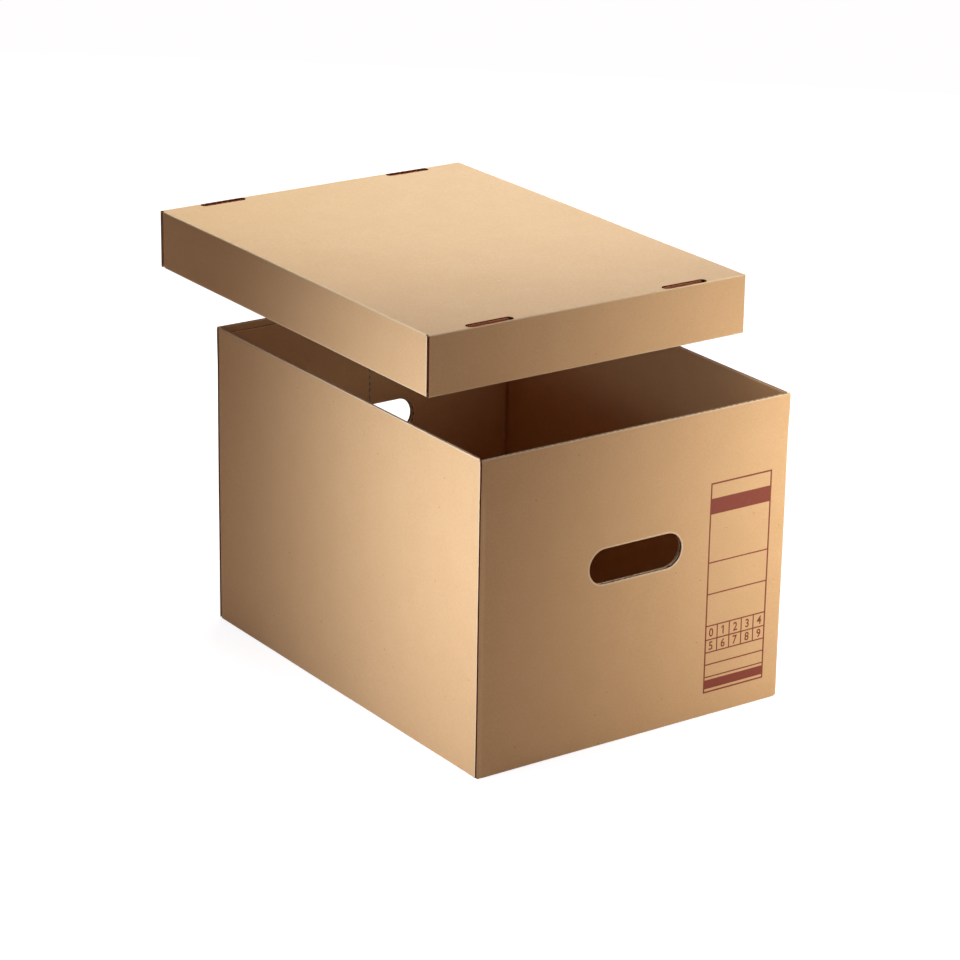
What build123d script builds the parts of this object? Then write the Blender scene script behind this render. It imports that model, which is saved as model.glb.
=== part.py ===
"""Archival box of corrugated board: a glued tray with handle holes, and its lift-off lid.

Origin: centre of the tray's underside. +X runs along the front wall, +Y to the back wall, +Z up.
The lid is held raised above the tray and set back, so that the front of the tray stands open.
"""
import os

from build123d import *

# Driving dimensions, in millimetres
board = 3.0                 # thickness of the corrugated board, and inner-crease to outer-face radius of a fold
box_width = 330.0           # tray, outside, along X
box_depth = 430.0           # tray, outside, along Y
box_height = 290.0          # tray, outside, along Z
flap_rim_drop = 6.0         # the tray's end flaps stop this far below its rim
flap_trim = 0.5             # a flap is cut this much short of the panel that it would meet
flap_gap = 1.0              # between the two end flaps behind one wall

handle_length = 100.0       # hand hole, end to end
handle_height = 33.0        # hand hole, top to bottom
handle_rise = 168.0         # hand hole's centre above the underside
handle_flap_margin = 1.0    # the hole in the flaps is this much larger all round

lid_height = 55.0           # lid, outside
lid_clearance = 1.0         # between the tray and the lid's inside, on each side
lid_raise = 34.0            # lid's lower edge above the tray's rim
lid_setback = 74.0          # lid's front face behind the tray's front face

tab_length = 41.0           # locking tab, along X
tab_spacing = 208.0         # between the middles of the two tabs of one lid wall
tab_recess = 0.6            # locking tab's end below the lid's top face
tab_end_clearance = 3.5     # between a tab and its slot, at each end
tab_back_clearance = 1.0    # between a tab and its slot, towards the middle of the lid
slot_inset = 1.0            # locking slot's outer side behind the lid's face
cut_margin = 1.0            # how far a cutting tool runs past the board

# Worked out from the above
end_layers = 3                                              # lid: outer wall, flap and inner wall
lid_width = box_width + 2 * (lid_clearance + board)
lid_depth = box_depth + 2 * (lid_clearance + end_layers * board)
lid_place = Pos(0, lid_setback + (lid_depth - box_depth) / 2, box_height + lid_raise)
lid_inner_half = lid_width / 2 - board - flap_trim          # half length of the rolled-in pieces
slot_length = tab_length + 2 * tab_end_clearance
slot_width = end_layers * board + tab_back_clearance - slot_inset

LEFT, RIGHT = -1, 1
FRONT, BACK = -1, 1
SIDES = {"left": LEFT, "right": RIGHT}
ENDS = {"front": FRONT, "back": BACK}


def block(corner, opposite):
    """Rectangular block between two opposite corners."""
    low = [min(pair) for pair in zip(corner, opposite)]
    high = [max(pair) for pair in zip(corner, opposite)]
    middle = [(a + b) / 2 for a, b in zip(low, high)]
    return Pos(*middle) * Box(*[b - a for a, b in zip(low, high)])


def bend(start, end, side):
    """Quarter-round fold about the inner crease from start to end; side points to its outer corner."""
    crease = Vector(*end) - Vector(*start)
    middle = (Vector(*end) + Vector(*start)) / 2
    rod = Plane(origin=middle, z_dir=crease) * Cylinder(board, crease.length)
    return rod & block(start, [e + s * board for e, s in zip(end, side)])


def base_panel():
    half_x = box_width / 2 - board
    half_y = box_depth / 2 - board
    return block((-half_x, -half_y, 0), (half_x, half_y, board))


def handle_hole(end, margin):
    """Cutter for the round-ended hand hole in the front or back wall."""
    plane = Plane(origin=(0, end * box_depth / 2, handle_rise), x_dir=(1, 0, 0), z_dir=(0, 1, 0))
    outline = SlotOverall(handle_length + 2 * margin, handle_height + 2 * margin)
    return extrude(plane * outline, amount=2 * board + cut_margin, both=True)


def side_wall(side):
    """Left or right wall of the tray, with its folds to the base and to its two end flaps."""
    outside = side * box_width / 2
    inside = outside - side * board
    reach = box_depth / 2 - 2 * board
    wall = block((outside, -reach, board), (inside, reach, box_height))
    wall += bend((inside, -reach, board), (inside, reach, board), (side, 0, -1))
    for end in ENDS.values():
        foot = (inside, end * reach, board)
        head = (inside, end * reach, box_height - flap_rim_drop)
        wall += bend(foot, head, (side, end, 0))
    return wall


def end_wall(end):
    """Front or back wall of the tray, over the full width, with its fold to the base."""
    outside = end * box_depth / 2
    inside = outside - end * board
    half = box_width / 2
    wall = block((-half, outside, board), (half, inside, box_height))
    wall += bend((-half, inside, board), (half, inside, board), (0, end, -1))
    return wall - handle_hole(end, 0)


def end_flap(side, end):
    """Flap of a side wall, glued behind the front or back wall; it holds half of the hand hole."""
    outside = end * (box_depth / 2 - board)
    low = (side * flap_gap / 2, outside, board + flap_trim)
    high = (side * (box_width / 2 - board), outside - end * board, box_height - flap_rim_drop)
    return block(low, high) - handle_hole(end, handle_flap_margin)


def lid_slots(end):
    """Cutters for the two locking slots along one end of the lid's top."""
    across = end * (lid_depth / 2 - slot_inset - slot_width / 2)
    cutters = Part()
    for side in SIDES.values():
        outline = Pos(side * tab_spacing / 2, across, lid_height) * SlotOverall(slot_length, slot_width)
        cutters += extrude(outline, amount=board + cut_margin, both=True)
    return cutters


def lid_top_panel():
    half_x = lid_width / 2 - board
    half_y = lid_depth / 2 - board
    panel = block((-half_x, -half_y, lid_height - board), (half_x, half_y, lid_height))
    for end in ENDS.values():
        panel -= lid_slots(end)
    return panel


def lid_side_wall(side):
    """Left or right wall of the lid, with its folds to the top and to its two corner flaps."""
    outside = side * lid_width / 2
    inside = outside - side * board
    reach = lid_depth / 2 - 2 * board
    top = lid_height - board
    wall = block((outside, -reach, 0), (inside, reach, top))
    wall += bend((inside, -reach, top), (inside, reach, top), (side, 0, 1))
    for end in ENDS.values():
        wall += bend((inside, end * reach, 0), (inside, end * reach, top), (side, end, 0))
    return wall


def lid_outer_wall(end):
    """Outer layer of the lid's front or back wall, with its folds to the top and to the fold strip."""
    outside = end * lid_depth / 2
    inside = outside - end * board
    half = lid_width / 2
    top = lid_height - board
    wall = block((-half, outside, board), (half, inside, top))
    wall += bend((-half, inside, top), (half, inside, top), (0, end, 1))
    wall += bend((-half, inside, board), (half, inside, board), (0, end, -1))
    return wall - lid_slots(end)


def lid_corner_flap(side, end):
    """Flap of a lid side wall, held between the outer and inner layers of an end wall."""
    outside = end * (lid_depth / 2 - board)
    low = (side * flap_gap / 2, outside, board + flap_trim)
    high = (side * (lid_width / 2 - board), outside - end * board, lid_height - board - flap_trim)
    return block(low, high)


def lid_fold_strip(end):
    """Narrow strip along the lid's lower edge, between the outer and the rolled-in inner wall."""
    outside = end * (lid_depth / 2 - board)
    return block((-lid_inner_half, outside, 0), (lid_inner_half, outside - end * board, board))


def lid_inner_wall(end):
    """Rolled-in inner layer of a lid end wall, with two tabs that lock in the slots of the top."""
    outside = end * (lid_depth / 2 - 2 * board)
    inside = outside - end * board
    top = lid_height - board - flap_trim
    wall = block((-lid_inner_half, outside, board), (lid_inner_half, inside, top))
    wall += bend((-lid_inner_half, outside, board), (lid_inner_half, outside, board), (0, -end, -1))
    for side in SIDES.values():
        middle = side * tab_spacing / 2
        corner = (middle - tab_length / 2, outside, top)
        wall += block(corner, (middle + tab_length / 2, inside, lid_height - tab_recess))
    return wall


def tray_nodes():
    nodes = {"base_panel": base_panel()}
    for side_name, side in SIDES.items():
        nodes[f"{side_name}_wall"] = side_wall(side)
    for end_name, end in ENDS.items():
        nodes[f"{end_name}_wall"] = end_wall(end)
        for side_name, side in SIDES.items():
            nodes[f"{end_name}_{side_name}_flap"] = end_flap(side, end)
    return nodes


def lid_nodes():
    nodes = {"lid_top_panel": lid_top_panel()}
    for side_name, side in SIDES.items():
        nodes[f"lid_{side_name}_wall"] = lid_side_wall(side)
    for end_name, end in ENDS.items():
        nodes[f"lid_{end_name}_outer_wall"] = lid_outer_wall(end)
        nodes[f"lid_{end_name}_fold_strip"] = lid_fold_strip(end)
        nodes[f"lid_{end_name}_inner_wall"] = lid_inner_wall(end)
        for side_name, side in SIDES.items():
            nodes[f"lid_{end_name}_{side_name}_flap"] = lid_corner_flap(side, end)
    return {name: lid_place * shape for name, shape in nodes.items()}


os.makedirs("parts", exist_ok=True)
for name, shape in {**tray_nodes(), **lid_nodes()}.items():
    export_step(shape, f"parts/{name}.step")
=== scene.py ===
"""Looks of the archival box: each panel as corrugated board, with its folds, cut edges and printed form."""

import math

import bmesh
import bpy
import numpy as np
from mathutils import Matrix, Vector


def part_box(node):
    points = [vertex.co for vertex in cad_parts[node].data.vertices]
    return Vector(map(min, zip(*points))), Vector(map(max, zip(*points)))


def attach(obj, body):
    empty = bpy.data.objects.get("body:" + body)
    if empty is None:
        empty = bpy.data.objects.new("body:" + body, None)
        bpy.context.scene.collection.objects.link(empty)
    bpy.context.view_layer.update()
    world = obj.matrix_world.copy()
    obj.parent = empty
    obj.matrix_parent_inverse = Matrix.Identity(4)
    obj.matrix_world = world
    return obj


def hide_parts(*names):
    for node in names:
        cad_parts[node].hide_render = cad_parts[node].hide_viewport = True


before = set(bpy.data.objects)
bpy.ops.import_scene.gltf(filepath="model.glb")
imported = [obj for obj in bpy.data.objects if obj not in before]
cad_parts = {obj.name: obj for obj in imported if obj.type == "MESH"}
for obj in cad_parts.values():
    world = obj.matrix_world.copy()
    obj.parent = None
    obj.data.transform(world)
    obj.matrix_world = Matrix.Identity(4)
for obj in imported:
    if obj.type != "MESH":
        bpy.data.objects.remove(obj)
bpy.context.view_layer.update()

MM = 0.001
AXES = {"x": 0, "y": 1, "z": 2}
SCENE = bpy.context.scene

# ------------------------------------------------------------------ sizes that the CAD nodes are cut to
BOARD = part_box("base_panel")[1].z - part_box("base_panel")[0].z
HANDLE_LENGTH = 100 * MM        # hand hole, end to end
HANDLE_HEIGHT = 33 * MM         # hand hole, top to bottom
HANDLE_RISE = 168 * MM          # hand hole's centre above the underside
HANDLE_FLAP_MARGIN = 1 * MM     # the hole in the flaps is this much larger all round
TAB_LENGTH = 41 * MM            # locking tab, along X
TAB_SPACING = 208 * MM          # between the middles of the two tabs of one lid wall
TAB_ROOT_DROP = BOARD + 0.5 * MM    # rolled-in wall's edge between its tabs, below the lid's top
SLOT_LENGTH = 48 * MM           # locking slot, along X
SLOT_WIDTH = 9 * MM
SLOT_INSET = 1 * MM             # slot's outer side behind the lid's face
SLOT_DEPTH = BOARD + 1 * MM     # how far down the slots cut, from the lid's top

# ------------------------------------------------------------------ how the board is made up
LINER = 0.32 * MM               # each of the two flat sheets
MEDIUM = 0.26 * MM              # the fluted sheet between them
AIR = 0.02 * MM                 # kept between sheets, so that no two faces lie in one plane
FLUTE_PITCH = 6.5 * MM
FLUTE_STEPS = 10                # stops along one flute
FOLD_STEPS = 9                  # stops round one fold
HALF_ROUND_STEPS = 16           # sides of a round end of a hole or slot
CELL = 12 * MM                  # grid step of a liner
FLUTE_CELL = 36 * MM            # grid step of the medium along its flutes
FOLD_RADIUS = 1.2 * MM          # of a fold's outer face
FOLD_ARC = FOLD_RADIUS * math.pi / 2    # length of that face round the fold
FOLD_RIM_DROP = 1.5 * MM        # the tray's upright folds end this far below its rim
CREASE_REACH = 4.5 * MM         # a crease presses the board thinner this far from the fold, from inside
CREASE_PRESS = 0.63             # by this share of its thickness
CUT_REACH = 2.2 * MM            # the same for a die-cut edge, from both sides
CUT_PRESS = 0.15
END_REACH = 6 * MM              # the same for the raw upright ends of the end walls
HELD_PRESS = 0.3                # where glue holds an end down, it is pressed from outside
SPRUNG_PRESS = 0.45             # where it stands off, it is pressed from inside, and a gap shows
SPRUNG_HEIGHT = 26 * MM         # glued ends stand off down to about this far below the rim
HELD_FROM = 0.5                 # the glue begins to hold at this share of that height
SLIT_DEPTH = CUT_REACH          # where it holds, the medium stops this short, and a dark slit shows
LID_FLAP_PRESS = 1 / 3          # the lid's corner flaps are pressed this much from outside
RELIEF_DEPTH = 9 * MM           # notches beside the locking tabs, below the lid's top
CREVICE_SHARE = 0.6             # from this share of its turn on, an upright fold lies in a crevice and gets painted shade
CREVICE_DEPTH = 5 * MM          # painted shade covers a crevice or a raw end to this depth
WORN_HIGHLIGHT_EDGE = 0.9 * MM            # width of the rubbed line along a cut edge, which is also painted highlight
HOLE_RING = 1.8 * MM            # the same round a hand hole
SHARP_ANGLE = math.radians(38)  # two faces that turn by more than this meet in a sharp edge
# Distances from an edge at which a panel's grid has a stop
EDGE_STOPS = (WORN_HIGHLIGHT_EDGE - AIR, WORN_HIGHLIGHT_EDGE + AIR, CUT_REACH, CREASE_REACH * 2 / 3, CREASE_REACH, END_REACH)

# ------------------------------------------------------------------ how uneven the folded board is
WAVER = 0.22 * MM               # size of the slight, smooth unevenness
BOW = 1.1 * MM                  # the tray's walls lean in by this much at mid-height
BROAD_RIPPLE = (47 * MM, 61 * MM)       # lengths of its broad waves both ways, over two pi
FINE_RIPPLE = (23 * MM, 33 * MM)
BROAD_SHARE = 0.65              # of the unevenness that the broad waves make up
RIPPLE_TURN = {"tray": 0.6, "lid": 2.3}     # so that the two bodies are uneven in different ways

# ------------------------------------------------------------------ surface detail of the paper
CLOUD_SIZE = 26 * MM
GRAIN_SIZE = 1.8 * MM
FIBRE_SIZE = 0.35 * MM
FIBRE_STRETCH = (5, 5, 1)       # fibres lie along X and Y
GLOSS_SIZE = 4 * MM             # of the patches that are a little more or less rough
BIG_FLECKS = (14 * MM, 0.55 * MM, 0.5)      # spacing of places, radius, and the share of them with a fleck
SMALL_FLECKS = (5 * MM, 0.22 * MM, 0.4)
FLECK_CORE = 0.6                # share of a fleck's radius that is fully dark
FLECK_CHOICE = 0.01             # width of the step between a place with a fleck and one without
TONE_SIZE = 1.2 * MM            # of the two tones of a raw or cut edge
INK_GRAIN = 0.6 * MM
LINER_BUMP = 0.7 * MM           # width of the paper's bumps
PLAIN_BUMP = 0.3 * MM
BUMP_HEIGHT = 0.05 * MM

# ------------------------------------------------------------------ printed form on the front wall
FORM_LEFT = 80 * MM             # from the middle of the wall
FORM_WIDTH = 68 * MM
FORM_FOOT = 22 * MM             # above the underside
FORM_HEIGHT = 200 * MM
FORM_COLUMNS = 5
FRAME_LINE = 1.5 * MM           # width of the frame's lines
INNER_LINE = 1.2 * MM
INK_PROUD = 0.05 * MM           # the ink stands this far out of the liner
INK_SUNK = 0.03 * MM            # and reaches this far into it
# Shares of the form's height, from its top
FORM_BANDS = ((0.074, 0.148), (0.938, 0.981))
GRID_TOP, GRID_MIDDLE, GRID_FOOT = 0.678, 0.744, 0.805
FORM_LINES = (0.376, 0.526, GRID_TOP, GRID_MIDDLE, GRID_FOOT, 0.864, 0.924)
NUMERALS = "0123456789"
NUMERAL_HEIGHT = 8.2 * MM
NUMERAL_SQUEEZE = 0.9           # width, as a share of the font's own
NUMERAL_STEPS = 4               # stops on each piece of a numeral's curves
# Shares of a numeral's height
NUMERAL_WEIGHT = 0.016          # the strokes are this much thicker than the font's
FLAG_WIDTH = 0.22               # slanted stroke at the head of the 1
FLAG_LEVELS = (0.5, 0.30, 0.17, 0.32)   # its corners above the middle: head, tip's top and foot, and root

# ------------------------------------------------------------------ view
AZIMUTH = math.radians(-35.08)  # the camera stands this far round to the left of the front wall
ELEVATION = math.radians(20.25)
ROLL = math.radians(0.99)
DISTANCE = 3118.5 * MM
AIM = Vector((0, 0, 145 * MM))  # the camera is aimed at this place, then moved across the view
AIM_RIGHT = -12.6 * MM
AIM_UP = 27.0 * MM
LENS = 127.91                   # millimetres, as is the sensor
SENSOR = 36.0
VIEW_END = 100                  # metres
FLOOR_HALF = 20                 # metres from the object to the floor's edges

# ------------------------------------------------------------------ panels and their edges
# A panel: its outward side, the axis that its flutes run along, and its edges: low and high along its
# first axis, then low and high along its second. A folded edge carries the quarter-round of the fold. A set
# fold is also moved in, behind the wall that it turns to. A joined edge meets its neighbour's fold.
CUT, HELD, SPRUNG, FOLD, SET_FOLD, JOINED = "cut", "held", "sprung", "fold", "set_fold", "joined"
TRAY_PANELS = {
    "base_panel": ("-z", "y", (JOINED, JOINED, JOINED, JOINED)),
    "left_wall": ("-x", "y", (FOLD, FOLD, FOLD, CUT)),
    "right_wall": ("+x", "y", (FOLD, FOLD, FOLD, CUT)),
    "front_wall": ("-y", "z", (HELD, HELD, FOLD, CUT)),
    "back_wall": ("+y", "z", (HELD, HELD, FOLD, CUT)),
    "front_left_flap": ("-y", "x", (JOINED, CUT, CUT, CUT)),
    "front_right_flap": ("-y", "x", (CUT, JOINED, CUT, CUT)),
    "back_left_flap": ("+y", "x", (JOINED, CUT, CUT, CUT)),
    "back_right_flap": ("+y", "x", (CUT, JOINED, CUT, CUT)),
}
LID_PANELS = {
    "lid_top_panel": ("+z", "y", (JOINED, JOINED, JOINED, JOINED)),
    "lid_left_wall": ("-x", "y", (SET_FOLD, SET_FOLD, CUT, FOLD)),
    "lid_right_wall": ("+x", "y", (SET_FOLD, SET_FOLD, CUT, FOLD)),
    "lid_front_outer_wall": ("-y", "z", (SPRUNG, SPRUNG, FOLD, FOLD)),
    "lid_back_outer_wall": ("+y", "z", (SPRUNG, SPRUNG, FOLD, FOLD)),
    "lid_front_fold_strip": ("-z", "y", (CUT, CUT, JOINED, JOINED)),
    "lid_back_fold_strip": ("-z", "y", (CUT, CUT, JOINED, JOINED)),
    "lid_front_inner_wall": ("+y", "z", (CUT, CUT, FOLD, CUT)),
    "lid_back_inner_wall": ("-y", "z", (CUT, CUT, FOLD, CUT)),
    "lid_front_left_flap": ("-y", "x", (JOINED, CUT, CUT, CUT)),
    "lid_front_right_flap": ("-y", "x", (CUT, JOINED, CUT, CUT)),
    "lid_back_left_flap": ("+y", "x", (JOINED, CUT, CUT, CUT)),
    "lid_back_right_flap": ("+y", "x", (CUT, JOINED, CUT, CUT)),
}

# How far inside its CAD box the flat part of a panel ends. It ends outside at a joined edge, because the
# visible fold is tighter than the CAD one.
MARGIN = {
    CUT: 0,
    HELD: 0,
    SPRUNG: 0,
    FOLD: FOLD_RADIUS,
    SET_FOLD: FOLD_RADIUS + BOARD * LID_FLAP_PRESS,
    JOINED: FOLD_RADIUS - BOARD,
}
FOLDED = (FOLD, SET_FOLD)


def joint_box(names):
    """Lowest and highest corner of several CAD nodes together."""
    boxes = [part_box(name) for name in names]
    low = [min(box[0][axis] for box in boxes) for axis in range(3)]
    high = [max(box[1][axis] for box in boxes) for axis in range(3)]
    return np.array(low), np.array(high)


BODY_BOX = {"tray": joint_box(TRAY_PANELS), "lid": joint_box(LID_PANELS)}
LID_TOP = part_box("lid_top_panel")[1].z


# ------------------------------------------------------------------ unevenness of folded board
def ripple(u, v, turn):
    """Smooth unevenness between -1 and 1 over two distances in metres."""
    broad = np.sin(u / BROAD_RIPPLE[0] + turn) * np.cos(v / BROAD_RIPPLE[1] + turn / 2)
    fine = np.sin(u / FINE_RIPPLE[0] + v / FINE_RIPPLE[1] + turn * 2)
    return BROAD_SHARE * broad + (1 - BROAD_SHARE) * fine


def waver(points, body):
    """Shifts points a little, by an amount that depends on the place alone, and never outwards."""
    low, high = BODY_BOX[body]
    turn = RIPPLE_TURN[body]
    middle = (low + high) / 2
    half = (high - low) / 2
    x, y, z = (points - middle).T
    rise = (points[:, 2] - low[2]) / (high[2] - low[2])
    belly = BOW * np.sin(math.pi * rise) if body == "tray" else 0 * rise
    moved = points.copy()
    inset_x = WAVER * (1 + ripple(y, z, turn)) + belly * np.cos(math.pi / 2 * y / half[1])
    inset_y = WAVER * (1 + ripple(x, z, turn + 1)) + belly * np.cos(math.pi / 2 * x / half[0])
    moved[:, 0] -= inset_x * x / half[0]
    moved[:, 1] -= inset_y * y / half[1]
    moved[:, 2] -= WAVER * (1 + ripple(x, y, turn + 2)) * rise
    return moved


def smooth_step(x):
    """From 0 to 1 as x goes from 0 to 1, level at both ends."""
    x = np.clip(x, 0.0, 1.0)
    return x * x * (3 - 2 * x)


# ------------------------------------------------------------------ panels
class Panel:
    """A panel read from its CAD node. It maps (first, second, depth below the outer face) to a place."""

    def __init__(self, node, outward, flutes, edges, body):
        low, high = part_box(node)
        self.node = node
        self.body = body
        self.edges = (edges[:2], edges[2:])
        self.crush = LID_FLAP_PRESS if body == "lid" and node.endswith("flap") else 0
        self.normal = AXES[outward[1]]
        self.outward = 1 if outward[0] == "+" else -1
        self.axes = [axis for axis in range(3) if axis != self.normal]
        self.across_flutes = 1 if AXES[flutes] == self.axes[0] else 0
        self.face = high[self.normal] if self.outward > 0 else low[self.normal]
        self.start = []
        self.length = []
        for axis, (first, last) in zip(self.axes, self.edges):
            start = low[axis] + MARGIN[first]
            end = high[axis] - MARGIN[last]
            self.start.append(start)
            self.length.append(end - start)

    def stops(self, i, step, extra=()):
        """Grid stops along an axis: even ones, closer ones at edges and folds, and any extra."""
        length = self.length[i]
        low = -FOLD_ARC if self.edges[i][0] in FOLDED else 0
        high = length + FOLD_ARC if self.edges[i][1] in FOLDED else length
        stops = list(np.linspace(0, length, max(1, round(length / step)) + 1))
        for reach in EDGE_STOPS:
            stops += [reach, length - reach]
        for turn in np.linspace(0, FOLD_ARC, FOLD_STEPS + 1):
            stops += [-turn, length + turn]
        stops += list(extra)
        kept = []
        for stop in sorted(stop for stop in stops if low - AIR < stop < high + AIR):
            if not kept or stop - kept[-1] > AIR / 2:
                kept.append(stop)
        return np.array(kept)

    def press(self, first, second):
        """Shares of the thickness that are pressed away, from inside and from outside."""
        inside = np.zeros(first.shape)
        outside = np.full(first.shape, float(self.crush))
        for i, value in enumerate((first, second)):
            for kind, distance in zip(self.edges[i], (value, self.length[i] - value)):
                if kind == CUT:
                    near = CUT_PRESS * (1 - smooth_step(distance / CUT_REACH))
                    inside = np.maximum(inside, near)
                    outside = np.maximum(outside, near)
                elif kind in (HELD, SPRUNG):
                    near = 1 - smooth_step(distance / END_REACH)
                    below_rim = self.length[1] - second
                    held = smooth_step(below_rim / SPRUNG_HEIGHT - HELD_FROM) * (kind == HELD)
                    inside = np.maximum(inside, SPRUNG_PRESS * (1 - held) * near)
                    outside = np.maximum(outside, HELD_PRESS * held * near)
                else:
                    crease = (CREASE_PRESS - self.crush) * (1 - smooth_step(distance / CREASE_REACH))
                    inside = np.maximum(inside, crease)
        return inside, outside

    def place(self, first, second, depth):
        """Places in space of grid points at depths below the outer face."""
        inside, outside = self.press(first, second)
        depth = BOARD * outside + depth * (1 - inside - outside)
        radius = FOLD_RADIUS - depth
        points = np.zeros((len(first), 3))
        inward = depth
        for i, value in enumerate((first, second)):
            flat = np.clip(value, 0, self.length[i])
            turn = (value - flat) / FOLD_RADIUS
            points[:, self.axes[i]] = self.start[i] + flat + np.sin(turn) * radius
            inward = np.where(turn != 0, FOLD_RADIUS - radius * np.cos(turn), inward)
        points[:, self.normal] = self.face - self.outward * inward
        return waver(points, self.body)

    def in_fold(self, i, value):
        """Whether a place lies past the flat part along an axis, and so in a fold."""
        return (value < 0) | (value > self.length[i])

    def wear_and_highlight(self, first, second):
        """From 0 to 1, how much a place is rubbed and painted with highlight: on the folds and along the
        cut edges.
        """
        worn_and_highlight = np.where(self.in_fold(0, first) | self.in_fold(1, second), 1.0, 0.0)
        for i, value in enumerate((first, second)):
            for kind, distance in zip(self.edges[i], (value, self.length[i] - value)):
                if kind == CUT:
                    worn_and_highlight = np.maximum(worn_and_highlight, distance < WORN_HIGHLIGHT_EDGE)
        return worn_and_highlight


def keep_all(panel, first, second):
    """The whole of a panel's rectangle."""
    return np.ones(first.shape, bool)


def keep_side_wall(panel, first, second):
    """Two folds leave the corner between them open, and the tray's upright folds end below its rim."""
    upright = panel.in_fold(0, first)
    dropped = upright & panel.in_fold(1, second)
    if panel.body == "tray":
        dropped |= upright & (second > panel.length[1] - FOLD_RIM_DROP)
    return ~dropped


def from_tab_middle(panel, first):
    """Distances from the middle of the nearer locking tab, along a panel's first axis."""
    return np.abs(np.abs(panel.start[0] + first) - TAB_SPACING / 2)


def tab_root(panel):
    """Where the locking tabs rise from a rolled-in wall's edge, along its second axis."""
    return LID_TOP - TAB_ROOT_DROP - panel.start[1]


def relief_foot(panel):
    """Foot of the notches beside the locking tabs, along a panel's second axis."""
    return LID_TOP - RELIEF_DEPTH - panel.start[1]


def in_relief(panel, first, second):
    """Whether a place is in one of the notches beside the locking tabs."""
    distance = from_tab_middle(panel, first)
    beside = (distance > TAB_LENGTH / 2) & (distance < SLOT_LENGTH / 2)
    return beside & (second > relief_foot(panel))


def keep_inner_wall(panel, first, second):
    """Above the rolled-in wall's edge only its two tabs stand."""
    tab = from_tab_middle(panel, first) < TAB_LENGTH / 2
    return (tab | (second < tab_root(panel))) & ~in_relief(panel, first, second)


def keep_lid_flap(panel, first, second):
    """A lid flap has the same notches beside the locking tabs as the wall that rolls over it."""
    return ~in_relief(panel, first, second)


def keep_medium(keep):
    """The same rule for the fluted sheet, which is also kept short of an end that is glued down."""

    def kept(panel, first, second):
        glued = (panel.edges[0][0] == HELD) & (second < panel.length[1] - SPRUNG_HEIGHT)
        from_end = np.minimum(first, panel.length[0] - first)
        return keep(panel, first, second) & ~(glued & (from_end < SLIT_DEPTH))

    return kept


def tab_stops(panel):
    """Ends of the locking tabs and of their slots along a panel's first axis."""
    reaches = (TAB_LENGTH / 2, SLOT_LENGTH / 2)
    places = [a * TAB_SPACING / 2 + b * reach for a in (-1, 1) for b in (-1, 1) for reach in reaches]
    return [place - panel.start[0] for place in places]


def cutting_rules(panel):
    """What is kept of a panel's rectangle, and the extra grid stops that this needs."""
    if panel.node.endswith("left_wall") or panel.node.endswith("right_wall"):
        return keep_side_wall, (), (panel.length[1] - FOLD_RIM_DROP,)
    if panel.node.endswith("inner_wall"):
        return keep_inner_wall, tab_stops(panel), (tab_root(panel), relief_foot(panel))
    if panel.body == "lid" and panel.node.endswith("flap"):
        return keep_lid_flap, tab_stops(panel), (relief_foot(panel),)
    if panel.edges[0][0] == HELD:
        return keep_all, (), (panel.length[1] - SPRUNG_HEIGHT,)
    return keep_all, (), ()


# ------------------------------------------------------------------ meshes
# Places of the materials on a piece; the fourth is painted shade, the fifth is scuffing with painted light
LINER_FACE, LINER_EDGE, MEDIUM_FACE, PAINTED_SHADE, SCUFFED_LIT = range(5)


def in_crevice(panel, first, second):
    """Whether a place is deep in the crevice where a side wall folds in behind an end wall, and so gets
    painted shade.
    """
    turned = CREVICE_SHARE * FOLD_ARC
    if panel.normal == 0:
        return (first < -turned) | (first > panel.length[0] + turned)
    joined = np.zeros(first.shape, bool)
    if panel.node.endswith("flap"):
        for kind, distance in zip(panel.edges[0], (first, panel.length[0] - first)):
            if kind == JOINED:
                joined |= distance < CREVICE_DEPTH
    return joined


def near_raw_edge(panel, first, second):
    """Whether a place is near a raw end, a hand hole or a lid slot, where the faces inside the board get
    painted shade.
    """
    if panel.edges[0][0] in (HELD, SPRUNG):
        from_end = np.minimum(first, panel.length[0] - first)
        beside = np.abs(panel.start[0] + first) < HANDLE_LENGTH / 2 + CELL
        level = np.abs(panel.start[1] + second - HANDLE_RISE) < HANDLE_HEIGHT / 2 + CELL
        return (from_end < CREVICE_DEPTH) | (beside & level)
    if panel.node == "lid_top_panel":
        return np.minimum(second, panel.length[1] - second) < SLOT_INSET + SLOT_WIDTH + CELL
    return np.zeros(first.shape, bool)


def on_tab_end(panel, first, second):
    """Whether a place is on the end of a locking tab, which is scuffed from going through its slot and
    painted lighter, as painted light for what falls into the slot.
    """
    if not panel.node.endswith("inner_wall"):
        return np.zeros(first.shape, bool)
    return second > tab_root(panel)


def sheet_materials(panel, cells, depth, face_material):
    """Materials of a sheet's two faces: painted shade where only a gap, a cut or a raw end shows them, and
    scuffing with painted light on the tab ends.
    """
    crevice = in_crevice(panel, *cells)
    raw = near_raw_edge(panel, *cells)
    scuffed_lit = on_tab_end(panel, *cells)
    materials = []
    for dark in (crevice | (raw & (depth > LINER)), (crevice | raw) & (depth < BOARD - LINER)):
        materials.append(np.where(scuffed_lit, SCUFFED_LIT, np.where(dark, PAINTED_SHADE, face_material)))
    return materials


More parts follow.
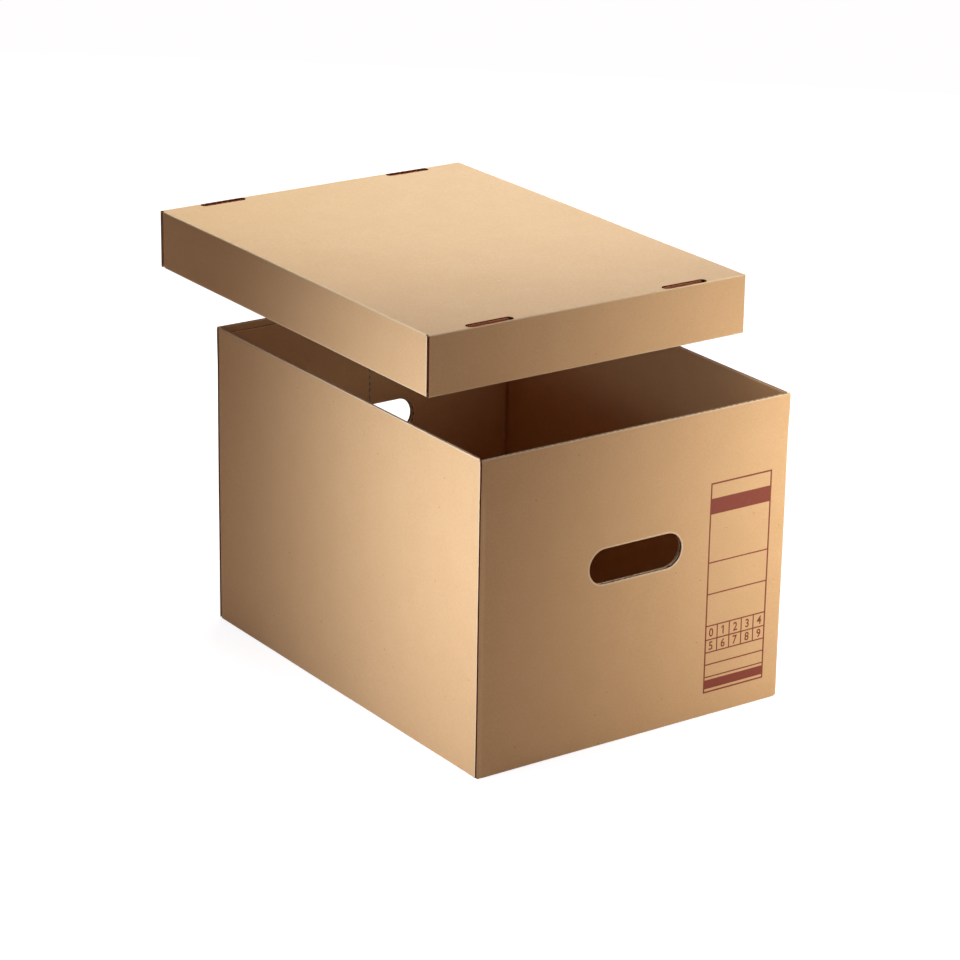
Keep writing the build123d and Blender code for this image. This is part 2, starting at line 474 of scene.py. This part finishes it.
class Shells:
    """Closed thin sheets, gathered into one mesh."""

    def __init__(self):
        self.points = []
        self.wear_and_highlight = []
        self.quads = []
        self.materials = []
        self.count = 0

    def add_sheet(self, panel, stops, middle, thickness, keep, face_material, rim_material):
        """Adds a sheet with two faces and a rim, on the cells of a grid that are kept.

        Its two faces lie half its thickness above and below its middle, which is a depth below the board's
        outer face.
        """
        first, second = [a.ravel() for a in np.meshgrid(*stops, indexing="ij")]
        centre = middle(first, second)
        outer = panel.place(first, second, centre - thickness / 2)
        inner = panel.place(first, second, centre + thickness / 2)
        wear_and_highlight = panel.wear_and_highlight(first, second)
        mids = [(stop[1:] + stop[:-1]) / 2 for stop in stops]
        cells = np.meshgrid(*mids, indexing="ij")
        kept = keep(panel, *cells)
        scuffed_lit = on_tab_end(panel, *cells)
        above, below = sheet_materials(panel, cells, middle(*cells), face_material)
        side = len(first)
        index = np.arange(side).reshape(len(stops[0]), len(stops[1])) + self.count
        a, b, c, d = index[:-1, :-1], index[1:, :-1], index[1:, 1:], index[:-1, 1:]
        self.add_quads((a, b, c, d), kept, above)
        self.add_quads((a + side, d + side, c + side, b + side), kept, below)
        around = np.pad(kept, 1)
        # The raw upright ends of the end walls get painted shade.
        end_material = PAINTED_SHADE if panel.edges[0][0] in (HELD, SPRUNG) else rim_material
        rims = (
            (a, b, around[1:-1, :-2], rim_material),
            (b, c, around[2:, 1:-1], end_material),
            (c, d, around[1:-1, 2:], np.where(scuffed_lit, SCUFFED_LIT, rim_material)),
            (d, a, around[:-2, 1:-1], end_material),
        )
        for start, end, neighbour, material in rims:
            self.add_quads((end, start, start + side, end + side), kept & ~neighbour, material)
        self.points += [outer, inner]
        self.wear_and_highlight += [wear_and_highlight, wear_and_highlight]
        self.count += 2 * side

    def add_quads(self, corners, kept, material):
        """Adds the kept ones of a grid of four-cornered faces."""
        quads = np.stack(corners, axis=-1)[kept]
        self.quads.append(quads)
        self.materials.append(np.broadcast_to(material, kept.shape)[kept])

    def piece(self, name, materials):
        """The gathered sheets as one object."""
        mesh = bpy.data.meshes.new(name)
        quads = np.concatenate(self.quads)
        mesh.from_pydata(np.concatenate(self.points).tolist(), [], quads.tolist())
        mesh.polygons.foreach_set("material_index", np.concatenate(self.materials))
        wear_and_highlight = mesh.attributes.new("wear_and_highlight", "FLOAT", "POINT")
        wear_and_highlight.data.foreach_set("value", np.concatenate(self.wear_and_highlight).astype(np.float32))
        for material in materials:
            mesh.materials.append(material)
        tidy(mesh)
        return link(name, mesh)


def link(name, mesh):
    """A new object of a mesh, in the scene."""
    piece = bpy.data.objects.new(name, mesh)
    SCENE.collection.objects.link(piece)
    return piece


def tidy(mesh):
    """Drops loose points, turns faces outward, and shades smooth between sharp edges."""
    work = bmesh.new()
    work.from_mesh(mesh)
    bmesh.ops.delete(work, geom=[v for v in work.verts if not v.link_faces], context="VERTS")
    bmesh.ops.recalc_face_normals(work, faces=work.faces)
    work.to_mesh(mesh)
    work.free()
    mesh.shade_smooth()
    mesh.set_sharp_from_angle(angle=SHARP_ANGLE)


def flat_sheet(depth):
    """Middle of a sheet that lies at one depth everywhere."""

    def middle(first, second):
        return np.full(first.shape, depth)

    return middle


def board_piece(panel, materials):
    """A panel's outer liner, inner liner and fluted medium."""
    keep, *extras = cutting_rules(panel)
    shells = Shells()
    stops = [panel.stops(i, CELL, extras[i]) for i in (0, 1)]
    for depth in (LINER / 2, BOARD - LINER / 2 - AIR):
        shells.add_sheet(panel, stops, flat_sheet(depth), LINER, keep, LINER_FACE, LINER_EDGE)
    across = panel.across_flutes
    steps = [FLUTE_PITCH / FLUTE_STEPS if i == across else FLUTE_CELL for i in (0, 1)]
    stops = [panel.stops(i, steps[i], extras[i]) for i in (0, 1)]
    swing = BOARD / 2 - LINER - MEDIUM / 2 - 2 * AIR

    def wave(first, second):
        along = (first, second)[across] + panel.start[across]
        return BOARD / 2 + swing * np.sin(2 * math.pi * along / FLUTE_PITCH)

    # The fluted sheet's cut rims take the pale edge material as well, as painted highlight.
    shells.add_sheet(panel, stops, wave, MEDIUM, keep_medium(keep), MEDIUM_FACE, LINER_EDGE)
    return shells.piece(panel.node + "_board", materials)


# ------------------------------------------------------------------ holes and slots
def stadium(length, width):
    """Outline of a round-ended slot about its centre, its length along the first axis."""
    radius = width / 2
    reach = length / 2 - radius
    outline = []
    for side, begin in ((1, -90), (-1, 90)):
        for step in range(HALF_ROUND_STEPS + 1):
            angle = math.radians(begin + 180 * step / HALF_ROUND_STEPS)
            outline.append((side * reach + radius * math.cos(angle), radius * math.sin(angle)))
    return outline


def prisms(outline, centres, axis, reach):
    """Points and faces of prisms of one outline, each about its centre and along an axis."""
    across = [other for other in range(3) if other != axis]
    n = len(outline)
    points = []
    faces = []
    for centre in centres:
        base = len(points)
        for end in (-reach, reach):
            for u, v in outline:
                point = Vector(centre)
                point[across[0]] += u
                point[across[1]] += v
                point[axis] += end
                points.append(point)
        faces.append([base + i for i in range(n)])
        faces.append([base + n + i for i in reversed(range(n))])
        faces += [[base + i, base + n + i, base + n + (i + 1) % n, base + (i + 1) % n] for i in range(n)]
    return points, faces


def carve(piece, points, faces, edge_material):
    """Cuts closed shapes out of a piece, and gives the cut faces a material."""
    mesh = bpy.data.meshes.new("cutter")
    mesh.from_pydata(points, [], faces)
    mesh.materials.append(edge_material)
    tidy(mesh)
    cutter = link("cutter", mesh)
    tool = piece.modifiers.new("cut", "BOOLEAN")
    tool.operation = "DIFFERENCE"
    tool.solver = "EXACT"
    tool.material_mode = "TRANSFER"
    tool.object = cutter
    evaluated = piece.evaluated_get(bpy.context.evaluated_depsgraph_get())
    result = bpy.data.meshes.new_from_object(evaluated)
    piece.modifiers.remove(tool)
    uncut = piece.data
    piece.data = result
    result.name = piece.name
    tidy(result)
    bpy.data.meshes.remove(uncut)
    bpy.data.objects.remove(cutter)


def cut_hand_hole(piece, panel, edge_material):
    """The round-ended hand hole, a little larger in the flaps than in the wall before them."""
    margin = HANDLE_FLAP_MARGIN if panel.node.endswith("flap") else 0
    outline = stadium(HANDLE_LENGTH + 2 * margin, HANDLE_HEIGHT + 2 * margin)
    centre = (0, panel.face, HANDLE_RISE)
    carve(piece, *prisms(outline, [centre], AXES["y"], 2 * BOARD), edge_material)


def cut_lid_slots(piece, ends, edge_material):
    """The locking slots along the lid's front edge, back edge or both."""
    low, high = BODY_BOX["lid"]
    outline = stadium(SLOT_LENGTH, SLOT_WIDTH)
    inset = SLOT_INSET + SLOT_WIDTH / 2
    across = {"front": low[1] + inset, "back": high[1] - inset}
    centres = [(side * TAB_SPACING / 2, across[end], high[2]) for end in ends for side in (-1, 1)]
    carve(piece, *prisms(outline, centres, AXES["z"], SLOT_DEPTH), edge_material)


# ------------------------------------------------------------------ materials
def srgb(red, green, blue):
    """Linear colour of an sRGB one given in 0 to 255."""
    linear = []
    for value in (red, green, blue):
        c = value / 255
        linear.append(c / 12.92 if c <= 0.04045 else ((c + 0.055) / 1.055) ** 2.4)
    return (*linear, 1.0)


class Nodes:
    """Short calls for the nodes of one material. A value is a number, a colour or another node's output."""

    def __init__(self, name):
        self.material = bpy.data.materials.new(name)
        self.material.use_nodes = True
        self.tree = self.material.node_tree
        self.shader = self.tree.nodes["Principled BSDF"]

    def add(self, kind, **inputs):
        """A new node with values on its inputs."""
        node = self.tree.nodes.new(kind)
        for name, value in inputs.items():
            self.set(node, name.replace("_", " "), value)
        return node

    def set(self, node, key, value):
        """Puts a value on the input with this name or number."""
        socket = node.inputs[key]
        if isinstance(value, bpy.types.NodeSocket):
            self.tree.links.new(value, socket)
        else:
            socket.default_value = value

    def mix(self, factor, first, second):
        """Colour between two."""
        node = self.tree.nodes.new("ShaderNodeMix")
        node.data_type = "RGBA"
        for index, value in ((0, factor), (6, first), (7, second)):
            self.set(node, index, value)
        return node.outputs[2]

    def calculate(self, operation, *values):
        """Result of a sum on one or two values."""
        node = self.tree.nodes.new("ShaderNodeMath")
        node.operation = operation
        for index, value in enumerate(values):
            self.set(node, index, value)
        return node.outputs[0]

    def spread(self, value, low, high, at_low=0.0, at_high=1.0):
        """Maps a value's range to another, and holds it at both ends."""
        limits = {"From_Min": low, "From_Max": high, "To_Min": at_low, "To_Max": at_high}
        node = self.add("ShaderNodeMapRange", Value=value, **limits)
        node.clamp = True
        return node.outputs["Result"]

    def place(self):
        """Place on the piece, in metres."""
        return self.tree.nodes.new("ShaderNodeTexCoord").outputs["Object"]

    def noise(self, size, detail, stretch=(1, 1, 1)):
        """Noise whose features are about size metres, drawn out along each axis by stretch."""
        mapping = self.add("ShaderNodeMapping", Vector=self.place())
        mapping.inputs["Scale"].default_value = [1 / s for s in stretch]
        node = self.add("ShaderNodeTexNoise", Vector=mapping.outputs[0], Scale=1 / size, Detail=detail)
        return node.outputs["Fac"]

    def surface(self, colour, roughness, specular):
        """Sets the colour and gloss."""
        self.set(self.shader, "Base Color", colour)
        self.set(self.shader, "Roughness", roughness)
        self.set(self.shader, "Specular IOR Level", specular)

    def bumps(self, size, strength):
        """Roughens the surface with bumps about size metres wide."""
        height = self.noise(size, detail=4)
        bump = self.add("ShaderNodeBump", Height=height, Strength=strength, Distance=BUMP_HEIGHT)
        self.set(self.shader, "Normal", bump.outputs[0])


KRAFT = srgb(214, 169, 120)
KRAFT_PALE = srgb(227, 185, 138)
KRAFT_DEEP = srgb(200, 153, 104)
# Rubbed paper, pale enough to be painted highlight on folds, cut edges and round the hand holes
KRAFT_RUBBED_HIGHLIGHT = srgb(240, 214, 178)
KRAFT_EVENNESS = 0.88           # how little the clouds show
FLECK = srgb(120, 78, 50)
FIBRE_LIGHT = srgb(232, 204, 164)
INK_DARK = srgb(116, 44, 24)
INK_PALE = srgb(136, 60, 36)
# Pale and dark tone of each plain paper
# The cut edges are paler than the paper, as painted highlight along the rims and round the hand holes
EDGE_TONES = (srgb(250, 232, 202), srgb(238, 208, 168))
MEDIUM_TONES = (srgb(172, 112, 78), srgb(128, 78, 50))
# Painted shade: a dark red-brown for crevices, raw ends and the cuts and faces inside openings
PAINTED_SHADE_TONES = (srgb(128, 62, 38), srgb(84, 36, 20))
# Scuffed tab ends, painted brighter than the paper as painted light for the light that falls into the slots
SCUFFED_LIT_TONES = (srgb(250, 162, 112), srgb(206, 120, 82))


def flecks(nodes, cell, radius, share):
    """1 on sparse specks: a small disc round some of the points of a Voronoi pattern."""
    cells = nodes.add("ShaderNodeTexVoronoi", Vector=nodes.place(), Scale=1 / cell, Randomness=1.0)
    near = nodes.spread(cells.outputs["Distance"], low=radius / cell, high=FLECK_CORE * radius / cell)
    split = nodes.add("ShaderNodeSeparateColor", Color=cells.outputs["Color"])
    chosen = nodes.spread(split.outputs[0], low=share, high=share - FLECK_CHOICE)
    return nodes.calculate("MULTIPLY", near, chosen)


def hand_hole_highlight_ring(nodes):
    """1 on the rubbed line round a hand hole, which also carries painted highlight: where the distance from
    its outline is small.
    """
    split = nodes.add("ShaderNodeSeparateXYZ", Vector=nodes.place())
    from_middle = nodes.calculate("ABSOLUTE", split.outputs["X"])
    past_straight = nodes.calculate("SUBTRACT", from_middle, (HANDLE_LENGTH - HANDLE_HEIGHT) / 2)
    along = nodes.calculate("MAXIMUM", past_straight, 0.0)
    up = nodes.calculate("SUBTRACT", split.outputs["Z"], HANDLE_RISE)
    squares = [nodes.calculate("POWER", distance, 2.0) for distance in (along, up)]
    radius = nodes.calculate("SQRT", nodes.calculate("ADD", *squares))
    off = nodes.calculate("ABSOLUTE", nodes.calculate("SUBTRACT", radius, HANDLE_HEIGHT / 2))
    return nodes.spread(off, low=HOLE_RING, high=HOLE_RING / 2)


def kraft_liner():
    """Smooth kraft paper: cloudy, fibrous and flecked, and paler where folds and cut edges are rubbed,
    which also paints highlight on them.
    """
    nodes = Nodes("kraft_liner")
    cloud = nodes.spread(nodes.noise(CLOUD_SIZE, detail=5), low=0.3, high=0.7)
    colour = nodes.mix(cloud, KRAFT_DEEP, KRAFT_PALE)
    colour = nodes.mix(KRAFT_EVENNESS, colour, KRAFT)
    grain = nodes.spread(nodes.noise(GRAIN_SIZE, detail=5), low=0.35, high=0.7, at_high=0.42)
    colour = nodes.mix(grain, colour, KRAFT_DEEP)
    fibres = nodes.noise(FIBRE_SIZE, detail=2, stretch=FIBRE_STRETCH)
    fibres = nodes.spread(fibres, low=0.62, high=0.75, at_high=0.35)
    colour = nodes.mix(fibres, colour, FIBRE_LIGHT)
    for kind in (BIG_FLECKS, SMALL_FLECKS):
        colour = nodes.mix(flecks(nodes, *kind), colour, FLECK)
    wear_and_highlight = nodes.add("ShaderNodeAttribute")
    wear_and_highlight.attribute_name = "wear_and_highlight"
    worn_and_highlight = nodes.calculate("MAXIMUM", wear_and_highlight.outputs["Fac"], hand_hole_highlight_ring(nodes))
    rubbed_and_highlight = nodes.spread(worn_and_highlight, low=0.0, high=1.0, at_high=0.6)
    colour = nodes.mix(rubbed_and_highlight, colour, KRAFT_RUBBED_HIGHLIGHT)
    gloss = nodes.noise(GLOSS_SIZE, detail=3)
    roughness = nodes.spread(gloss, low=0.3, high=0.7, at_low=0.62, at_high=0.74)
    nodes.surface(colour, roughness, specular=0.35)
    nodes.bumps(LINER_BUMP, strength=0.25)
    return nodes.material


def plain_paper(name, pale, dark, roughness):
    """Rough uncoated paper between two tones."""
    nodes = Nodes(name)
    tone = nodes.spread(nodes.noise(TONE_SIZE, detail=4), low=0.3, high=0.7)
    nodes.surface(nodes.mix(tone, dark, pale), roughness, specular=0.2)
    nodes.bumps(PLAIN_BUMP, strength=0.4)
    return nodes.material


def printing_ink():
    """Red-brown ink, thin enough for the paper's grain to show."""
    nodes = Nodes("red_brown_ink")
    grain = nodes.spread(nodes.noise(INK_GRAIN, detail=4), low=0.35, high=0.75)
    nodes.surface(nodes.mix(grain, INK_DARK, INK_PALE), roughness=0.6, specular=0.35)
    return nodes.material


# ------------------------------------------------------------------ printed form
def form_marks():
    """Inked rectangles of the form: lowest and highest place across and up, from its lower left corner."""
    wide, high = FORM_WIDTH, FORM_HEIGHT
    marks = [
        (0, wide, 0, FRAME_LINE),
        (0, wide, high - FRAME_LINE, high),
        (0, FRAME_LINE, 0, high),
        (wide - FRAME_LINE, wide, 0, high),
    ]
    for share in FORM_LINES:
        level = high * (1 - share)
        marks.append((0, wide, level - INNER_LINE / 2, level + INNER_LINE / 2))
    for top, foot in FORM_BANDS:
        marks.append((0, wide, high * (1 - foot), high * (1 - top)))
    for column in range(1, FORM_COLUMNS):
        across = wide * column / FORM_COLUMNS
        foot, top = high * (1 - GRID_FOOT), high * (1 - GRID_TOP)
        marks.append((across - INNER_LINE / 2, across + INNER_LINE / 2, foot, top))
    return marks


def spaced(values, step):
    """Sorted values, with even stops added wherever two lie further apart than a step."""
    values = sorted(set(values))
    stops = [values[0]]
    for value in values[1:]:
        parts = math.ceil((value - stops[-1]) / step)
        stops += list(np.linspace(stops[-1], value, parts + 1)[1:])
    return np.array(stops)


def printed_lines(panel, ink):
    """The form's frame, bands and lines as one closed film of ink on the front wall."""
    left = FORM_LEFT - panel.start[0]
    foot = FORM_FOOT - panel.start[1]
    marks = [(left + a, left + b, foot + c, foot + d) for a, b, c, d in form_marks()]
    first = spaced([value for mark in marks for value in mark[:2]], CELL / 2)
    second = spaced([value for mark in marks for value in mark[2:]], CELL / 2)

    def inked(panel, across, up):
        hits = [(a < across) & (across < b) & (c < up) & (up < d) for a, b, c, d in marks]
        return np.any(hits, axis=0)

    depth = (INK_SUNK - INK_PROUD) / 2
    shells = Shells()
    shells.add_sheet(panel, (first, second), flat_sheet(depth), INK_PROUD + INK_SUNK, inked, 0, 0)
    return shells.piece("printed_form_lines", [ink])


def numeral_mesh(digit):
    """Points and faces of one digit: closed, a unit high and thick, and centred on the origin."""
    curve = bpy.data.curves.new("numeral", "FONT")
    curve.body = digit
    curve.extrude = 0.5
    curve.offset = NUMERAL_WEIGHT
    curve.resolution_u = NUMERAL_STEPS
    shape = bpy.data.objects.new("numeral", curve)
    SCENE.collection.objects.link(shape)
    evaluated = shape.evaluated_get(bpy.context.evaluated_depsgraph_get())
    mesh = bpy.data.meshes.new_from_object(evaluated)
    bpy.data.objects.remove(shape)
    points = np.array([v.co for v in mesh.vertices])
    low, high = points.min(0), points.max(0)
    points = (points - (low + high) / 2) / (high[1] - low[1])
    points[:, 2] = np.sign(points[:, 2]) / 2
    faces = [list(p.vertices) for p in mesh.polygons]
    bpy.data.meshes.remove(mesh)
    if digit == "1":
        points, faces = with_flag(points, faces)
    return points, faces


def with_flag(points, faces):
    """Adds the slanted stroke to the head of the font's plain 1."""
    root = points[:, 0].min()
    tip = root - FLAG_WIDTH
    outline = list(zip((root, tip, tip, root), FLAG_LEVELS))
    flag = [(x, y, z) for z in (-0.5, 0.5) for x, y in outline]
    sides = [[i, (i + 1) % 4, 4 + (i + 1) % 4, 4 + i] for i in range(4)]
    flag_faces = [[3, 2, 1, 0], [4, 5, 6, 7], *sides]
    faces = faces + [[len(points) + i for i in face] for face in flag_faces]
    return np.concatenate((points, flag)), faces


def printed_numerals(panel, ink):
    """The digits 0 to 9 in the form's two rows of boxes."""
    points = []
    faces = []
    rows = ((GRID_TOP + GRID_MIDDLE) / 2, (GRID_MIDDLE + GRID_FOOT) / 2)
    for number, digit in enumerate(NUMERALS):
        row, column = divmod(number, FORM_COLUMNS)
        across = FORM_LEFT + FORM_WIDTH * (column + 0.5) / FORM_COLUMNS - panel.start[0]
        up = FORM_FOOT + FORM_HEIGHT * (1 - rows[row]) - panel.start[1]
        shape, shape_faces = numeral_mesh(digit)
        faces += [[len(points) + i for i in face] for face in shape_faces]
        first = across + shape[:, 0] * NUMERAL_HEIGHT * NUMERAL_SQUEEZE
        second = up + shape[:, 1] * NUMERAL_HEIGHT
        depth = np.where(shape[:, 2] > 0, -INK_PROUD, INK_SUNK)
        points += panel.place(first, second, depth).tolist()
    mesh = bpy.data.meshes.new("printed_numerals")
    mesh.from_pydata(points, [], faces)
    mesh.materials.append(ink)
    work = bmesh.new()
    work.from_mesh(mesh)
    bmesh.ops.remove_doubles(work, verts=work.verts, dist=AIR / 4)
    work.to_mesh(mesh)
    work.free()
    tidy(mesh)
    return link("printed_numerals", mesh)


# ------------------------------------------------------------------ the object
def cut_openings(piece, panel, hole_edge, slot_edge, wall_slot_edge):
    """The hand holes and locking slots that go through a panel, with a material for each kind of cut."""
    node = panel.node
    if node in ("front_wall", "back_wall") or (panel.body == "tray" and node.endswith("flap")):
        cut_hand_hole(piece, panel, hole_edge)
    if node == "lid_top_panel":
        cut_lid_slots(piece, ("front", "back"), slot_edge)
    if node.endswith("outer_wall"):
        end = node.split("_")[1]
        cut_lid_slots(piece, (end,), wall_slot_edge)


def build_object():
    """Every panel's board, and the printed form, each riding on its body."""
    # Pale cut edges, as painted highlight along the rims and round the hand holes
    edge = plain_paper("cut_liner_edge", *EDGE_TONES, roughness=0.9)
    medium = plain_paper("fluted_medium", *MEDIUM_TONES, roughness=0.85)
    # Painted shade for crevices, raw ends and the cuts through the lid's outer walls
    painted_shade_paper = plain_paper("painted_shade_board", *PAINTED_SHADE_TONES, roughness=0.95)
    # Scuffing with painted light for the ends of the locking tabs
    scuffed_lit = plain_paper("scuffed_lit_board", *SCUFFED_LIT_TONES, roughness=0.9)
    materials = [kraft_liner(), edge, medium, painted_shade_paper, scuffed_lit]
    ink = printing_ink()
    for body, panels in (("tray", TRAY_PANELS), ("lid", LID_PANELS)):
        for node, (outward, flutes, edges) in panels.items():
            panel = Panel(node, outward, flutes, edges, body)
            piece = board_piece(panel, materials)
            # The slots through the lid's outer walls get painted shade on their cut faces.
            cut_openings(piece, panel, hole_edge=edge, slot_edge=medium, wall_slot_edge=painted_shade_paper)
            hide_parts(node)
            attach(piece, body)
            if node == "front_wall":
                for print_piece in (printed_lines(panel, ink), printed_numerals(panel, ink)):
                    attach(print_piece, body)


# ------------------------------------------------------------------ floor, light and camera
FLOOR_COLOUR = (0.46, 0.38, 0.34, 1)
FLOOR_GLOW = (0.81, 0.83, 0.85, 1)      # brings the floor that the camera sees up to white
WORLD_COLOUR = (1.0, 0.66, 0.64, 1)
WORLD_STRENGTH = 0.11
WHITE = (1, 1, 1, 1)


def seen_rays(tree):
    """1 for rays that the viewer sees the surroundings by: directly, in a reflection or through glass."""
    path = tree.nodes.new("ShaderNodeLightPath")
    total = path.outputs["Is Camera Ray"]
    for name in ("Is Glossy Ray", "Is Transmission Ray"):
        larger = tree.nodes.new("ShaderNodeMath")
        larger.operation = "MAXIMUM"
        tree.links.new(total, larger.inputs[0])
        tree.links.new(path.outputs[name], larger.inputs[1])
        total = larger.outputs[0]
    return total


def add_floor():
    """Pale floor that the camera sees near white, with the object's shadow on it."""
    nodes = Nodes("pale_floor")
    nodes.surface(FLOOR_COLOUR, roughness=0.9, specular=0.0)
    glow = nodes.add("ShaderNodeEmission", Color=FLOOR_GLOW, Strength=seen_rays(nodes.tree))
    total = nodes.tree.nodes.new("ShaderNodeAddShader")
    nodes.tree.links.new(nodes.shader.outputs[0], total.inputs[0])
    nodes.tree.links.new(glow.outputs[0], total.inputs[1])
    nodes.tree.links.new(total.outputs[0], nodes.tree.nodes["Material Output"].inputs[0])
    corners = [(-1, -1), (1, -1), (1, 1), (-1, 1)]
    mesh = bpy.data.meshes.new("floor")
    mesh.from_pydata([(FLOOR_HALF * x, FLOOR_HALF * y, 0) for x, y in corners], [], [range(4)])
    mesh.materials.append(nodes.material)
    link("floor", mesh)


def add_world():
    """Even light from all round; the camera and reflections see white."""
    world = bpy.data.worlds.new("studio")
    world.use_nodes = True
    tree = world.node_tree
    light = tree.nodes["Background"]
    light.inputs["Color"].default_value = WORLD_COLOUR
    light.inputs["Strength"].default_value = WORLD_STRENGTH
    white = tree.nodes.new("ShaderNodeBackground")
    white.inputs["Color"].default_value = WHITE
    mix = tree.nodes.new("ShaderNodeMixShader")
    tree.links.new(seen_rays(tree), mix.inputs[0])
    tree.links.new(light.outputs[0], mix.inputs[1])
    tree.links.new(white.outputs[0], mix.inputs[2])
    tree.links.new(mix.outputs[0], tree.nodes["World Output"].inputs[0])
    SCENE.world = world


def add_light(name, kind, place, aim, **settings):
    """A light at a place, turned towards its aim, that no camera sees."""
    light = bpy.data.lights.new(name, kind)
    for setting, value in settings.items():
        setattr(light, setting, value)
    holder = bpy.data.objects.new(name, light)
    holder.location = place
    holder.rotation_euler = (Vector(aim) - Vector(place)).to_track_quat("-Z", "Y").to_euler()
    holder.visible_camera = False
    SCENE.collection.objects.link(holder)


def add_lights():
    """A soft sun and a lamp above, a near lamp for each side that faces the camera, and one lamp behind."""
    add_light(
        "sun", "SUN", place=(0.6, 1.2, 3.0), aim=(0, 0, 0),
        energy=1.1, angle=math.radians(50), color=(0.98, 1.06, 1.08),
    )
    add_light(
        "top_lamp", "SPOT", place=(0.17, 0.33, 2.4), aim=(0.17, 0.33, 0.38),
        energy=92.0, shadow_soft_size=0.2, spot_size=math.radians(34), spot_blend=0.7,
        color=(0.92, 1.13, 1.16),
    )
    add_light(
        "left_lamp", "AREA", place=(-0.62, -0.15, 0.28), aim=(-0.165, -0.36, 0.16),
        energy=1.6, size=0.30, spread=math.radians(125), color=(0.94, 1.11, 1.32),
    )
    add_light(
        "right_lamp", "AREA", place=(0.31, -0.68, 0.31), aim=(0.36, -0.215, 0.19),
        energy=1.66, size=0.35, spread=math.radians(110), color=(0.98, 1.04, 1.05),
    )
    add_light("back_lamp", "AREA", place=(1.3, 1.5, 0.9), aim=(0, 0.1, 0.2), energy=14.0, size=1.0)


def add_camera():
    """A long lens that looks down on the object a little from the left, and is rolled slightly."""
    back = Vector((
        math.cos(ELEVATION) * math.sin(AZIMUTH),
        -math.cos(ELEVATION) * math.cos(AZIMUTH),
        math.sin(ELEVATION),
    ))
    level = Vector((math.cos(AZIMUTH), math.sin(AZIMUTH), 0))
    right = math.cos(ROLL) * level + math.sin(ROLL) * back.cross(level)
    up = back.cross(right)
    data = bpy.data.cameras.new("camera")
    data.lens = LENS
    data.sensor_width = SENSOR
    data.clip_end = VIEW_END
    camera = bpy.data.objects.new("camera", data)
    turn = Matrix((right, up, back)).transposed().to_4x4()
    place = AIM + AIM_RIGHT * right + AIM_UP * up + DISTANCE * back
    camera.matrix_world = Matrix.Translation(place) @ turn
    SCENE.collection.objects.link(camera)
    SCENE.camera = camera


add_camera()
build_object()
add_floor()
add_world()
add_lights()
SCENE.view_settings.view_transform = "Standard"
